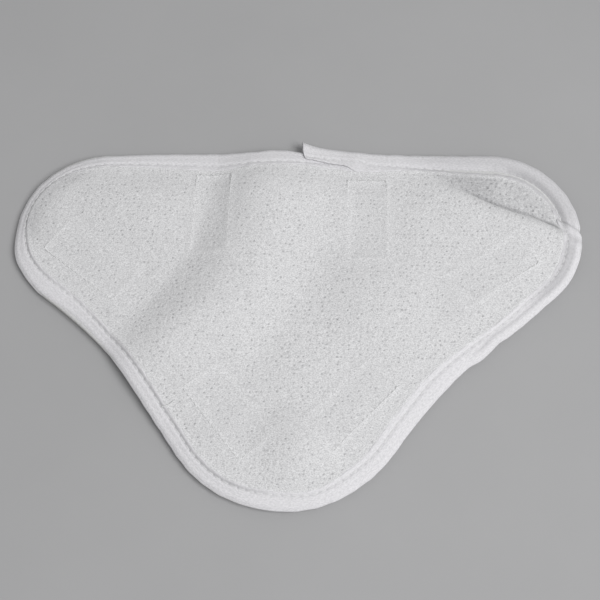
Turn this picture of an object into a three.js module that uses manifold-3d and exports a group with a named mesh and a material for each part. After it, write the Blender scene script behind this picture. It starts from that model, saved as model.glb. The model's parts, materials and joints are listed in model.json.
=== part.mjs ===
// A washable floor pad for a steam mop: three layers cut to one three-lobed shape, a tape folded over
// their raw edges, and six patches of hook tape sewn to the back. It lies as it was put down, face up.
// Millimetres. +X runs along the straight edge, the front lobe points to -Y, and +Z is up.
import * as THREE from 'three'
import Module from 'manifold-3d'

const manifold = await Module()
manifold.setup()

// The cut shape: a straight back edge at y = 0 and three round lobes joined by two hollow sides.
const padWidth = 303
const padDepth = 199
const sideLobeRadius = 49
const frontLobeRadius = 66
const hollowRadius = 300
const edgeSteps = 80

// The layers, measured up from the underside of the back cloth. Near the rim the tape squeezes them.
const gap = 0.3
const backThickness = 0.8
const coreThickness = 2
const faceThickness = 3
const coreAtRim = 0.7
const faceAtRim = 1.2
const plainTop = backThickness + gap + coreThickness + gap + faceThickness
const rimTop = backThickness + gap + coreAtRim + gap + faceAtRim

// The edge tape: a 25 mm tape folded over the rim, with its end laid over its start.
const tapeThickness = 0.5
const flangeWidth = 10
const noseDepth = 2
const overlapSteps = 3
const tailLift = tapeThickness + gap + 0.05
const tapeStart = 33
const seamInset = 7.5

// The hook tape patches and the thread that holds them.
const hookTapeWidth = 25
const hookTapeLength = 52
const hookGap = 0.5
const hookBase = 0.5
const hookHeight = 1.45
const stitchMargin = 2
const grooveWidth = 1.3
const threadRadius = 0.2
const patchSeats = [
  { seat: 'left_side', x: -109, y: -66, turn: -38 },
  { seat: 'left_back', x: -46, y: -40, turn: 87 },
  { seat: 'right_back', x: 36, y: -43, turn: 89 },
  { seat: 'right_side', x: 100, y: -72, turn: 34 },
  { seat: 'left_front', x: -36, y: -149, turn: -52 },
  { seat: 'right_front', x: 25, y: -146, turn: 45 },
]

// How it lies: a soft ridge that runs round in an arc, steeper on its inner side, and two low swells.
const ridge = { x: -183, y: -2, radius: 164, steepReach: 29, gentleReach: 42, height: 6.2 }
const ridgeFade = { start: 85, end: 135, left: 0.3, atEdge: 0.35, edgeReach: 26 }
const swells = [
  { x: 38, y: -88, reach: 38, height: 3.2 },
  { x: -1, y: -166, reach: 26, height: 2.8 },
]
const sway = { start: 60, end: padDepth, shift: -8 }
const flatMargin = 10
const flatBlend = 9

const radians = THREE.MathUtils.degToRad
const smooth = THREE.MathUtils.smoothstep
const hump = (t) => (Math.abs(t) < 1 ? (1 + Math.cos(Math.PI * t)) / 2 : 0)
const sum = (list) => list.reduce((total, value) => total + value, 0)

// The height of the folds alone, over a place on the floor.
function foldHeight(x, y) {
  const fromArc = Math.hypot(x - ridge.x, y - ridge.y) - ridge.radius
  const reach = fromArc < 0 ? ridge.steepReach : ridge.gentleReach
  const toFront = 1 - (1 - ridgeFade.left) * smooth(-y, ridgeFade.start, ridgeFade.end)
  const toEdge = 1 - (1 - ridgeFade.atEdge) * (1 - smooth(-y, 0, ridgeFade.edgeReach))
  const swollen = swells.map((swell) => {
    const away = Math.hypot(x - swell.x, y - swell.y)
    return swell.height * hump(away / swell.reach)
  })
  return ridge.height * toFront * toEdge * hump(fromArc / reach) + sum(swollen)
}

// Hook tape is stiff, so each patch holds the cloth over it to one plane, with no corner under the floor.
function patchPlane({ x, y, turn }) {
  const reach = hookTapeLength / 2
  const along = new THREE.Vector2(Math.cos(radians(turn)), Math.sin(radians(turn)))
  const [right, left] = [foldHeight(x + reach, y), foldHeight(x - reach, y)]
  const [back, front] = [foldHeight(x, y + reach), foldHeight(x, y - reach)]
  const slope = new THREE.Vector2(right - left, back - front).divideScalar(2 * reach)
  const cornerDrop = Math.abs(slope.dot(along)) * reach + Math.abs(slope.cross(along)) * hookTapeWidth / 2
  return { x, y, along, slope, level: Math.max((right + left + back + front) / 4, cornerDrop) }
}

const planes = patchSeats.map(patchPlane)

function planeWeight(plane, x, y) {
  const lengthwise = Math.abs((x - plane.x) * plane.along.x + (y - plane.y) * plane.along.y)
  const sideways = Math.abs((y - plane.y) * plane.along.x - (x - plane.x) * plane.along.y)
  const over = Math.max(lengthwise - hookTapeLength / 2, sideways - hookTapeWidth / 2)
  return 1 - smooth(over, flatMargin, flatMargin + flatBlend)
}

// The height of the back cloth's underside above the floor.
function height(x, y) {
  let raised = foldHeight(x, y)
  for (const plane of planes) {
    const level = plane.level + plane.slope.x * (x - plane.x) + plane.slope.y * (y - plane.y)
    raised = THREE.MathUtils.lerp(raised, Math.max(level, 0), planeWeight(plane, x, y))
  }
  return raised
}

// A point that lies a distance up through the layers from a place on the floor.
function above(x, y, up) {
  const step = 0.05
  const slopeX = (height(x + step, y) - height(x - step, y)) / (2 * step)
  const slopeY = (height(x, y + step) - height(x, y - step)) / (2 * step)
  const normal = new THREE.Vector3(-slopeX, -slopeY, 1).normalize()
  return new THREE.Vector3(x, y, height(x, y)).addScaledVector(normal, up)
}

// From the flat cut shape to where that point lies: the front lobe lies a little to the left.
function lie(u, v, up) {
  return above(u + sway.shift * smooth(-v, sway.start, sway.end), v, up)
}

// The arcs of the outline in order, anticlockwise, from the middle of the straight edge.
function outlinePath() {
  const side = new THREE.Vector2(padWidth / 2 - sideLobeRadius, -sideLobeRadius)
  const front = new THREE.Vector2(0, frontLobeRadius - padDepth)
  const sideToHollow = sideLobeRadius + hollowRadius
  const frontToHollow = frontLobeRadius + hollowRadius
  const between = side.distanceTo(front)
  const atSide = Math.acos((sideToHollow ** 2 + between ** 2 - frontToHollow ** 2)
    / (2 * sideToHollow * between))
  const toFront = Math.atan2(front.y - side.y, front.x - side.x)
  const hollow = side.clone().add(new THREE.Vector2(
    Math.cos(toFront + atSide), Math.sin(toFront + atSide)).multiplyScalar(sideToHollow))
  const sideEnd = toFront + atSide
  const frontEnd = Math.atan2(hollow.y - front.y, hollow.x)
  const path = new THREE.Path()
  path.moveTo(0, 0)
  path.lineTo(-side.x, 0)
  path.absarc(-side.x, side.y, sideLobeRadius, Math.PI / 2, Math.PI - sideEnd, false)
  path.absarc(-hollow.x, hollow.y, hollowRadius, -sideEnd, -frontEnd, true)
  path.absarc(front.x, front.y, frontLobeRadius, Math.PI - frontEnd, 2 * Math.PI + frontEnd, false)
  path.absarc(hollow.x, hollow.y, hollowRadius, Math.PI + frontEnd, Math.PI + sideEnd, true)
  path.absarc(side.x, side.y, sideLobeRadius, sideEnd, Math.PI / 2, false)
  path.lineTo(0, 0)
  return path
}

// Even steps round the outline, from where the tape starts, each with its inward direction.
function edgePlaces() {
  const path = outlinePath()
  path.arcLengthDivisions = 4000
  const length = path.getLength()
  return Array.from({ length: edgeSteps }, (_, i) => {
    const t = (i / edgeSteps + 1 - tapeStart / length) % 1
    const point = path.getPointAt(t)
    const forward = path.getTangentAt(t)
    return { point, inward: new THREE.Vector2(-forward.y, forward.x) }
  })
}

const edge = edgePlaces()

function insetPoint(i, inset) {
  const { point, inward } = edge[i % edgeSteps]
  return point.clone().addScaledVector(inward, inset)
}

// Rings that every layer shares: three follow the rim, and the rest shrink towards the middle.
const plumpInset = 15.5
const middle = new THREE.Vector2(-1, -80)
const rimRings = [noseDepth, flangeWidth, plumpInset]
const innerRings = [[0.9, 1], [0.8, 1], [0.7, 2], [0.6, 2], [0.5, 2], [0.4, 4], [0.28, 4], [0.14, 8]]

function layerRings() {
  const places = Array.from({ length: edgeSteps }, (_, i) => i)
  const rim = rimRings.map((inset) => places.map((i) => insetPoint(i, inset)))
  const last = rim[rim.length - 1]
  const inner = innerRings.map(([part, skip]) => last
    .filter((_, i) => i % skip === 0)
    .map((point) => point.clone().lerp(middle, 1 - part)))
  return [...rim, ...inner, [middle]]
}

// Faces between two rings, where the inner one has as many points, or half as many, or is one point.
function bandFaces(outer, outerCount, inner, innerCount) {
  const faces = []
  const ratio = outerCount / innerCount
  for (let i = 0; i < outerCount; i++) {
    const a = outer + i
    const b = outer + (i + 1) % outerCount
    const c = inner + Math.floor(i / ratio) % innerCount
    const d = inner + Math.floor((i + 1) / ratio) % innerCount
    faces.push([a, b, c])
    if (c !== d) faces.push([b, d, c])
  }
  return faces
}

function solid(points, faces) {
  const geometry = new THREE.BufferGeometry().setFromPoints(points)
  geometry.setIndex(faces.flat())
  geometry.computeVertexNormals()
  return geometry
}

// One layer, whose top and underside are given at the rim and over the rest of the pad.
function layer(bottomAtRim, topAtRim, bottom, top) {
  const rings = layerRings()
  const counts = rings.map((ring) => ring.length)
  const ringStarts = counts.map((_, i) => sum(counts.slice(0, i)))
  const perSide = sum(counts)
  const sideFaces = []
  for (let i = 0; i + 1 < rings.length; i++) {
    sideFaces.push(...bandFaces(ringStarts[i], counts[i], ringStarts[i + 1], counts[i + 1]))
  }
  const surface = (atRim, plain) => rings.flatMap((ring, i) => ring
    .map(({ x, y }) => lie(x, y, i < 2 ? atRim : plain)))
  const topFaces = sideFaces
  const underFaces = sideFaces.map(([a, b, c]) => [a + perSide, c + perSide, b + perSide])
  const wallFaces = edge.flatMap((_, i) => {
    const next = (i + 1) % edgeSteps
    return [[i, i + perSide, next], [next, i + perSide, next + perSide]]
  })
  return solid([...surface(topAtRim, top), ...surface(bottomAtRim, bottom)],
    [...topFaces, ...underFaces, ...wallFaces])
}

// The folded tape's section, from the face side round the nose to the back: inset and height pairs.
function tapeSection(lift) {
  const half = rimTop / 2 + gap + lift
  const side = (offset) => {
    const nose = noseDepth - tapeThickness + offset + lift
    const round = [90, 45, 0, -45, -90].map((angle) => [
      noseDepth - nose * Math.cos(radians(angle)),
      rimTop / 2 + (half + offset) * Math.sin(radians(angle))])
    return [[flangeWidth, rimTop / 2 + half + offset], ...round, [flangeWidth, rimTop / 2 - half - offset]]
  }
  return [...side(tapeThickness), ...side(0).reverse()]
}

// The tape goes once round and then over its own start.
function tape() {
  const sections = edgeSteps + overlapSteps + 1
  const points = []
  for (let i = 0; i < sections; i++) {
    const section = tapeSection(i < edgeSteps ? 0 : tailLift)
    points.push(...section.map(([inset, up]) => {
      const { x, y } = insetPoint(i, inset)
      return lie(x, y, up)
    }))
  }
  const around = points.length / sections
  const insets = tapeSection(0).map(([inset]) => inset)
  const faces = []
  for (let i = 0; i + 1 < sections; i++) {
    for (let k = 0; k < around; k++) {
      const beside = (k + 1) % around
      const [a, b] = [i * around + k, i * around + beside]
      const [c, d] = [a + around, b + around]
      const inwards = insets[k] < insets[beside]
      faces.push(...(inwards ? [[a, b, c], [b, d, c]] : [[a, b, d], [a, d, c]]))
    }
  }
  const half = around / 2
  const last = (sections - 1) * around
  for (let k = 0; k + 1 < half; k++) {
    const [a, b, c, d] = [k, k + 1, around - 2 - k, around - 1 - k]
    faces.push([a, d, b], [b, d, c], [last + a, last + b, last + d], [last + b, last + c, last + d])
  }
  return solid(points, faces)
}

// A round thread along a closed line of points.
function thread(points) {
  const sides = 4
  const count = points.length
  const rings = points.flatMap((point, i) => {
    const ahead = points[(i + 1) % count].clone().sub(points[(i + count - 1) % count]).normalize()
    const across = new THREE.Vector3(0, 0, 1).cross(ahead).normalize()
    const up = ahead.clone().cross(across)
    return Array.from({ length: sides }, (_, k) => {
      const angle = 2 * Math.PI * (k + 0.5) / sides
      return point.clone()
        .addScaledVector(across, threadRadius * Math.cos(angle))
        .addScaledVector(up, threadRadius * Math.sin(angle))
    })
  })
  const faces = []
  for (let i = 0; i < count; i++) {
    for (let k = 0; k < sides; k++) {
      const [a, b] = [i * sides + k, i * sides + (k + 1) % sides]
      const [c, d] = [((i + 1) % count) * sides + k, ((i + 1) % count) * sides + (k + 1) % sides]
      faces.push([a, b, c], [b, d, c])
    }
  }
  return solid(rings, faces)
}

// The seam through the tape: on the face it climbs over the tape's end.
function edgeSeam(onFace) {
  const clear = gap + tapeThickness + gap + threadRadius
  return thread(edge.map((_, i) => {
    const lift = i <= overlapSteps ? tailLift : 0
    const up = onFace ? rimTop + clear + lift : -clear - lift
    const [outer, inner] = [noseDepth, flangeWidth].map((inset) => insetPoint(i, inset))
    const part = (seamInset - noseDepth) / (flangeWidth - noseDepth)
    return lie(outer.x, outer.y, up).lerp(lie(inner.x, inner.y, up), part)
  }))
}

// The oblong that holds one patch, as points on its own flat plane.
function stitchOblong({ x, y, turn }, up) {
  const along = hookTapeLength / 2 - stitchMargin
  const across = hookTapeWidth / 2 - stitchMargin
  const corner = 1
  const oblong = new THREE.Path()
  oblong.moveTo(-along + corner, -across)
  oblong.lineTo(along - corner, -across)
  oblong.absarc(along - corner, -across + corner, corner, -Math.PI / 2, 0)
  oblong.absarc(along - corner, across - corner, corner, 0, Math.PI / 2)
  oblong.absarc(-along + corner, across - corner, corner, Math.PI / 2, Math.PI)
  oblong.absarc(-along + corner, -across + corner, corner, Math.PI, 1.5 * Math.PI)
  const points = oblong.getPoints(1)
  points.pop()
  return points.map((point) => {
    const turned = point.rotateAround(new THREE.Vector2(), radians(turn))
    return above(x + turned.x, y + turned.y, up)
  })
}

function box(length, width, bottom, top) {
  return manifold.Manifold.cube([length, width, top - bottom]).translate(-length / 2, -width / 2, bottom)
}

// A patch of hook tape. The hooks are one block, with a groove where the thread pulls them aside.
function hookPatch({ x, y, turn }) {
  const hookTop = -hookGap - hookBase
  const hookEnd = hookTop - hookHeight
  const stitchedLength = hookTapeLength - 2 * stitchMargin
  const stitchedWidth = hookTapeWidth - 2 * stitchMargin
  const outside = box(stitchedLength + grooveWidth, stitchedWidth + grooveWidth, hookEnd - 1, hookTop)
  const inside = box(stitchedLength - grooveWidth, stitchedWidth - grooveWidth, hookEnd - 2, hookTop + 1)
  const cut = box(hookTapeLength, hookTapeWidth, hookEnd, -hookGap).subtract(outside.subtract(inside))
  const { vertProperties, triVerts, numProp } = cut.getMesh()
  const points = []
  for (let i = 0; i < vertProperties.length; i += numProp) {
    const place = new THREE.Vector2(vertProperties[i], vertProperties[i + 1])
      .rotateAround(new THREE.Vector2(), radians(turn))
    points.push(above(x + place.x, y + place.y, vertProperties[i + 2]))
  }
  return solid(points, [Array.from(triVerts)])
}

function named(name, geometry, color, roughness) {
  const material = new THREE.MeshStandardMaterial({ color, roughness, metalness: 0 })
  const mesh = new THREE.Mesh(geometry, material)
  mesh.name = name
  return mesh
}

function buildPad() {
  const pad = new THREE.Group()
  pad.name = 'steam_mop_pad'
  const coreBottom = backThickness + gap
  pad.add(named('back_cloth', layer(0, backThickness, 0, backThickness), 0xe4e4e2, 0.95))
  pad.add(named('core_wadding',
    layer(coreBottom, coreBottom + coreAtRim, coreBottom, coreBottom + coreThickness), 0xf2f2ee, 1))
  pad.add(named('face_cloth',
    layer(rimTop - faceAtRim, rimTop, plainTop - faceThickness, plainTop), 0xf0f1f2, 1))
  pad.add(named('edge_binding', tape(), 0xf4f5f7, 0.8))
  pad.add(named('edge_seam_needle_thread', edgeSeam(true), 0xf7f7f7, 0.6))
  pad.add(named('edge_seam_bobbin_thread', edgeSeam(false), 0xf7f7f7, 0.6))
  const needleUp = plainTop + 2 * gap + threadRadius
  const bobbinUp = -hookGap - hookBase - gap - threadRadius
  for (const place of patchSeats) {
    pad.add(named(`hook_patch_${place.seat}`, hookPatch(place), 0xe9e9e6, 0.6))
    pad.add(named(`patch_needle_thread_${place.seat}`, thread(stitchOblong(place, needleUp)), 0xf7f7f7, 0.6))
    pad.add(named(`patch_bobbin_thread_${place.seat}`, thread(stitchOblong(place, bobbinUp)), 0xf7f7f7, 0.6))
  }
  return pad
}

// The pad stands on the floor, with the middle of its box over the origin.
function settle(pad) {
  const box3 = new THREE.Box3().setFromObject(pad)
  const centre = box3.getCenter(new THREE.Vector3())
  for (const mesh of pad.children) mesh.geometry.translate(-centre.x, -centre.y, -box3.min.z)
  return pad
}

export default settle(buildPad())
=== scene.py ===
"""A washable floor pad for a steam mop, lying face up on the floor as it was put down.

Shapes are worked out in millimetres in the pattern's own frame, as on the cutting table: the straight
edge runs along x at y = 0 and the front lobe points to -y. Meshes are made in the row frame, in metres.
"""
import json
import math

import bpy
import numpy as np
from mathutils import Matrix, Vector

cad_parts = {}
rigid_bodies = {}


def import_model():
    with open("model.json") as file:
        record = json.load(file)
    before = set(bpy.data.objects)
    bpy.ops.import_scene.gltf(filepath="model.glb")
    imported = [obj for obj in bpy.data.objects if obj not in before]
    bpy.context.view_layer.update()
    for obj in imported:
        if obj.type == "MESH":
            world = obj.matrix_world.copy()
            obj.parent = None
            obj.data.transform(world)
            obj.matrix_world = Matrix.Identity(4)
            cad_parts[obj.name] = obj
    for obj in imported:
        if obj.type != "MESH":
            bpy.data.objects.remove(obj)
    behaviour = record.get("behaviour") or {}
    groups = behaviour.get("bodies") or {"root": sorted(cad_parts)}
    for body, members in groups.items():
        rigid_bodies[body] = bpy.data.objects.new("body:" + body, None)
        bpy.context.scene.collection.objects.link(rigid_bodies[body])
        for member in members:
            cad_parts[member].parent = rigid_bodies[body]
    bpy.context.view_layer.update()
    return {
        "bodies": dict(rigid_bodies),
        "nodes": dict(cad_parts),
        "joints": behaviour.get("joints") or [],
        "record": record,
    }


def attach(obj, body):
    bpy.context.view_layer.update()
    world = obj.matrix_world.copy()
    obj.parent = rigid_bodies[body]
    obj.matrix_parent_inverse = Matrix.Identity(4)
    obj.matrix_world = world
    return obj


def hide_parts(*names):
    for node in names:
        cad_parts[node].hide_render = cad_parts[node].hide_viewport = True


# The cut shape: a straight back edge and three round lobes joined by two hollow sides.
PAD_WIDTH = 303
PAD_DEPTH = 199
SIDE_LOBE_RADIUS = 49
FRONT_LOBE_RADIUS = 66
HOLLOW_RADIUS = 300
MIDDLE = (-1, -80)

# The layers, measured up from the underside of the back cloth. Near the rim the tape squeezes them.
GAP = 0.3
BACK_THICKNESS = 0.8
CORE_THICKNESS = 2
CORE_AT_RIM = 0.7
GROUND_THICKNESS = 1
FACE_AT_RIM = 1.2
FACE_BOTTOM = BACK_THICKNESS + GAP + CORE_THICKNESS + GAP
PLAIN_TOP = FACE_BOTTOM + 3
RIM_TOP = BACK_THICKNESS + GAP + CORE_AT_RIM + GAP + FACE_AT_RIM
RIM_FACE_BOTTOM = RIM_TOP - FACE_AT_RIM
PRESSED_INSET = 8
PLUMP_INSET = 16
CUT_INSET = 2

# The edge tape and its seam.
TAPE_THICKNESS = 0.45
NOSE_REACH = 3.1
TAPE_START = 33
OVERLAP = 31.6
TAIL_LIFT = 0.5
TAIL_SWING, TAIL_RISE = 6.4, 0.5
BEVEL = 0.85
LIP_RISE = 1.25
LIP_TOP = RIM_TOP + GAP + TAPE_THICKNESS + LIP_RISE
SEAM_STITCH = 5
SEAM_FROM_EDGE = 0.8
THREAD_RADIUS = 0.2
POINTS_PER_STITCH = 8
KINK_AT, KINK_SLANT = 659, 0.9
LOOSE_END_AT, LOOSE_END_REACH = 347, 6.5

# How the rim was sewn: its usual measures, and the stretches where a measure differs. Each stretch is the
# place of its middle along the rim, its reach to each side, and what it adds.
DRAWN_IN = 1
DRAWN_STRETCHES = [(8, 24, -1.2), (44, 18, -1.3), (150, 50, 1.2), (226, 16, -1), (280, 56, 2), (348, 36, -1),
                   (450, 32, -0.6), (566, 13, -1.8), (590, 32, -2.3), (648, 26, 0.8), (762, 50, 0.8)]
SEAM_AT = 8
SEAM_STRETCHES = [(70, 50, 1.8), (195, 55, -2.8), (262, 40, 2.2), (348, 40, -1.8), (395, 45, -1.2),
                  (452, 24, -1.6), (538, 22, 1), (585, 34, -2.6), (660, 55, 1.7), (735, 95, 3.4)]
LIP = 2
LIP_STRETCHES = [(0, 36, 3), (75, 65, 1.6), (190, 60, -0.8), (515, 62, 1.8), (710, 105, 1.6)]

# Stretches of the rim where something happens: where each starts, is full, starts to fade and is gone.
# ROLL_DIP, TUCK_SHADED, TURNED_UP, TURNED_DOWN and GROOVE_SHADED only say where shade is painted on the tape,
# and PILE_HOLLOW is where the pile dips and also gets painted shade.
ROLLED = (655, 675, 755, 790)
ROLL_DIP = (655, 668, 708, 730)
TUCKED = (560, 572, 700, 740)
TUCK_SHADED = (558, 572, 645, 656)
TURNED_UP = (595, 618, 648, 657)
TURNED_DOWN = (130, 150, 205, 225)
GROOVE_SHADED = (195, 205, 405, 440)
PILE_HOLLOW = (140, 165, 205, 225)

# How much painted shade darkens the tape where it rolls, dips, tucks, turns, is pierced or cracks, and the
# dark colour that all painted shade, on the tape and on the pile, tends towards.
ROLL_SHADE, DIP_SHADE, TUCK_SHADE, UP_SHADE, DOWN_SHADE = 0.22, 0.27, 0.25, 0.15, 0.1
GROOVE_SHADE, HOLE_SHADE, CRACK_SHADE = 0.36, 0.35, 0.3
DEEP_SHADE = (0.25, 0.25, 0.26)

# The hook tape patches: seat, x, y and turn in degrees.
HOOK_TAPE_WIDTH = 25
HOOK_TAPE_LENGTH = 52
HALF_WIDTH, HALF_LENGTH = HOOK_TAPE_WIDTH / 2, HOOK_TAPE_LENGTH / 2
HOOK_GAP = 0.5
HOOK_BASE = 0.5
HOOK_HEIGHT = 1.45
HOOK_BASE_BOTTOM = -HOOK_GAP - HOOK_BASE
HOOK_PITCH_ALONG, HOOK_PITCH_ACROSS = 1.9, 1.75
HOOK_RADIUS, HOOK_ROOT = 0.11, 0.1
STITCH_MARGIN = 2
PATCH_STITCH = 3
PATCH_SEATS = [
    ("left_side", -109, -66, -38),
    ("left_back", -46, -40, 87),
    ("right_back", 36, -43, 89),
    ("right_side", 100, -72, 34),
    ("left_front", -36, -149, -52),
    ("right_front", 25, -146, 45),
]

# How it lies: a soft ridge in an arc, and a crease across the back right corner.
RIDGE_X, RIDGE_Y, RIDGE_RADIUS = -183, -2, 164
RIDGE_STEEP_REACH, RIDGE_GENTLE_REACH, RIDGE_HEIGHT = 29, 42, 6.8
RIDGE_FADE_START, RIDGE_FADE_END, RIDGE_LEFT = 90, 142, 0.3
RIDGE_AT_EDGE, RIDGE_EDGE_REACH = 0.35, 26
# Low swells and one hollow: x, y, reach and height.
SWELLS = [(38, -88, 38, 3.2), (-1, -166, 26, 2.8), (-153, -36, 28, -1.3)]
CREASE_X, CREASE_Y, CREASE_TURN = 107, -33, 25
CREASE_BOW, CREASE_BOW_AT, CREASE_BOW_REACH = 2.6, -8, 44
CREASE_START, CREASE_FULL = -48, -8
CREASE_DIP, CREASE_NEAR, CREASE_FAR = 32, 3.5, 8
CREASE_RISE, CREASE_RISE_REACH, CURL_ANGLE = 8, 14, 2
CREASE_PINCH, CREASE_PINCH_REACH, CREASE_SHADE_REACH = 2.2, 2.1, 2.6
SWAY_START, SWAY_SHIFT = 60, -8
SAG = 0.3

# The quilted relief of the face, from a cloth simulation on a coarse grid, held at its rim and its seams.
SIM_CELL = 4.0
SIM_INSET = 5
QUILT_HELD, QUILT_FREE = 11, 15
QUILT_PRESSURE, QUILT_STIFFNESS, QUILT_BENDING = 0.6, 15, 0.05
QUILT_SLACK = 0.004
QUILT_CAP = 1.5
QUILT_FRAMES = 20
QUILT_EASES = 4

# The terry pile: a fine grid with loops in staggered rows.
PILE_CELL = 0.45
LOOP_ROW = 1.15
LOOP_PITCH = 1.3
LOOP_HEIGHT = 0.35
PILE_TUCK = 1.4
HOLE_DEPTH = 0.5

# How finely the layers and the tape are divided.
RIM_POINTS = 300
RIM_INSETS = [CUT_INSET, 3.5, 5, 6.5, 8, 9.5, 11, 12.5, 14, 16]
SHRINK_STEPS = 34
SECTION_STEP = 0.9
FLAT_POINTS = 14
NOSE_POINTS = 13

# From the pattern frame to the row frame, which has the middle of the whole box over its origin.
ROW_SHIFT = np.array([0.094, 99.044, HOOK_GAP + HOOK_BASE + HOOK_HEIGHT])

# The camera stands in front of the front lobe and looks down steeply.
CAMERA_ELEVATION = 67
CAMERA_DISTANCE = 0.65
CAMERA_LENS = 74.43
CAMERA_AIM = (0.00042, 0.0136, 0)

# The scale at which a wave texture repeats once in each unit of its place.
ONE_WAVE = 0.314

# One soft window, an even sky and a wide floor, in degrees, metres and watts.
WINDOW_AZIMUTH, WINDOW_ELEVATION = -32, 56
WINDOW_DISTANCE, WINDOW_SIZE, WINDOW_POWER = 2.1, 1.18, 29.3
SKY_STRENGTH = 0.37
FLOOR_REACH = 30


# ---------------------------------------------------------------- how it lies

def smooth(value, low, high):
    """0 up to low, 1 from high on, and an easy curve between them."""
    t = np.clip((value - low) / (high - low), 0, 1)
    return t * t * (3 - 2 * t)


def hump(t):
    """1 at 0, falling in half a wave to 0 at -1 and at 1."""
    return np.where(np.abs(t) < 1, (1 + np.cos(np.pi * t)) / 2, 0)


def between(value, stretch):
    """1 in the middle of a stretch and 0 outside it, from where it starts, is full, fades and is gone."""
    start, full, fading, gone = stretch
    return smooth(value, start, full) * (1 - smooth(value, fading, gone))


def bell(value, reach):
    """1 at 0, falling off over about a reach to each side."""
    return np.exp(-(value / reach) ** 2)


def sway(v):
    """How far the front of the pad has shifted sideways."""
    return SWAY_SHIFT * smooth(-v, SWAY_START, PAD_DEPTH)


def heading(degrees):
    """One step in a direction, 0 being along x and 90 along y."""
    return np.array([math.cos(math.radians(degrees)), math.sin(math.radians(degrees))])


CREASE_OUT = heading(CREASE_TURN)[::-1]


def bend_table():
    """How far the cloth dips into the crease, climbs past it and draws in, against distance past it."""
    step = 0.25
    past = np.arange(-45, 60, step)
    reach = np.where(past < -CREASE_NEAR, CREASE_NEAR, CREASE_FAR)
    dip = CREASE_DIP * hump((past + CREASE_NEAR) / reach)
    rise = CREASE_RISE * hump((past + 2 * CREASE_NEAR + CREASE_RISE_REACH) / CREASE_RISE_REACH)
    angle = np.radians(rise - dip + CURL_ANGLE * smooth(past, -2, 7))
    climb = np.cumsum(np.sin(angle)) * step
    drawn = np.cumsum(np.cos(angle) - 1) * step
    return past, climb, drawn


BEND = bend_table()


def fold_height(x, y):
    """The height of the ridge and the swells over a place on the floor."""
    from_arc = np.hypot(x - RIDGE_X, y - RIDGE_Y) - RIDGE_RADIUS
    reach = np.where(from_arc < 0, RIDGE_STEEP_REACH, RIDGE_GENTLE_REACH)
    fade = 1 - (1 - RIDGE_LEFT) * smooth(-y, RIDGE_FADE_START, RIDGE_FADE_END)
    fade = fade * (1 - (1 - RIDGE_AT_EDGE) * (1 - smooth(-y, 0, RIDGE_EDGE_REACH)))
    swells = sum(height * hump(np.hypot(x - sx, y - sy) / across) for sx, sy, across, height in SWELLS)
    return RIDGE_HEIGHT * fade * hump(from_arc / reach) + swells


PATCH_PLACES = [(x, y, heading(turn)) for _, x, y, turn in PATCH_SEATS]


def outside_tape(along, across):
    """How far a place is outside a piece of hook tape, from its middle along and across the tape."""
    return np.maximum(np.abs(along) - HALF_LENGTH, np.abs(across) - HALF_WIDTH)


def over_patch(patch, x, y):
    """How far a place is outside one patch, negative over the patch itself."""
    px, py, along = patch
    return outside_tape((x - px) * along[0] + (y - py) * along[1], (y - py) * along[0] - (x - px) * along[1])


def past_crease(x, y):
    """How far past the slightly bowed crease a place is, and how much of it is there, from 0 to 1."""
    past = (x - CREASE_X) * CREASE_OUT[0] + (y - CREASE_Y) * CREASE_OUT[1]
    beside = (x - CREASE_X) * CREASE_OUT[1] - (y - CREASE_Y) * CREASE_OUT[0]
    bowed = past + CREASE_BOW * hump((beside - CREASE_BOW_AT) / CREASE_BOW_REACH)
    return bowed, smooth(beside, CREASE_START, CREASE_FULL)


def surface(u, v):
    """Where the back cloth's underside lies, from places of the flat cut shape."""
    x = u + sway(v)
    past, share = past_crease(x, v)
    climb = share * np.interp(past, BEND[0], BEND[1])
    drawn = share * share * np.interp(past, BEND[0], BEND[2])
    folds = fold_height(x, v)
    inset = inset_of(u, v)
    nearest = np.min([over_patch(patch, x, v) for patch in PATCH_PLACES], axis=0)
    sag = SAG * smooth(nearest, 0, 9) * (1 - smooth(inset, 8, 24)) * (1 - smooth(folds + climb, 0.3, 3))
    return np.stack([x + drawn * CREASE_OUT[0], v + drawn * CREASE_OUT[1], folds + climb - sag], -1)


def lie(u, v, up):
    """Points that lie a distance up through the layers, from places of the flat cut shape."""
    step = 0.1
    along_u = surface(u + step, v) - surface(u - step, v)
    along_v = surface(u, v + step) - surface(u, v - step)
    normal = np.cross(along_u, along_v)
    normal /= np.linalg.norm(normal, axis=-1, keepdims=True)
    return surface(u, v) + normal * np.broadcast_to(up, np.shape(u))[..., None]


def soften(grid):
    """Averages each cell with its neighbours."""
    padded = np.pad(grid, 1, mode="edge")
    across = (padded[:, :-2] + 2 * padded[:, 1:-1] + padded[:, 2:]) / 4
    return (across[:-2] + 2 * across[1:-1] + across[2:]) / 4


RELIEF = {"grid": None}


def relief(u, v):
    """How much the quilted face stands up, from the cloth simulation."""
    if RELIEF["grid"] is None:
        return np.zeros(np.shape(u))
    grid, u0, v0, cell = RELIEF["grid"], RELIEF["u0"], RELIEF["v0"], RELIEF["cell"]
    a = np.clip((u - u0) / cell, 0, grid.shape[1] - 1.001)
    b = np.clip((v - v0) / cell, 0, grid.shape[0] - 1.001)
    i, j = b.astype(int), a.astype(int)
    s, t = a - j, b - i
    return ((grid[i, j] * (1 - s) + grid[i, j + 1] * s) * (1 - t)
            + (grid[i + 1, j] * (1 - s) + grid[i + 1, j + 1] * s) * t)


# ---------------------------------------------------------------- the outline

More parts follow.
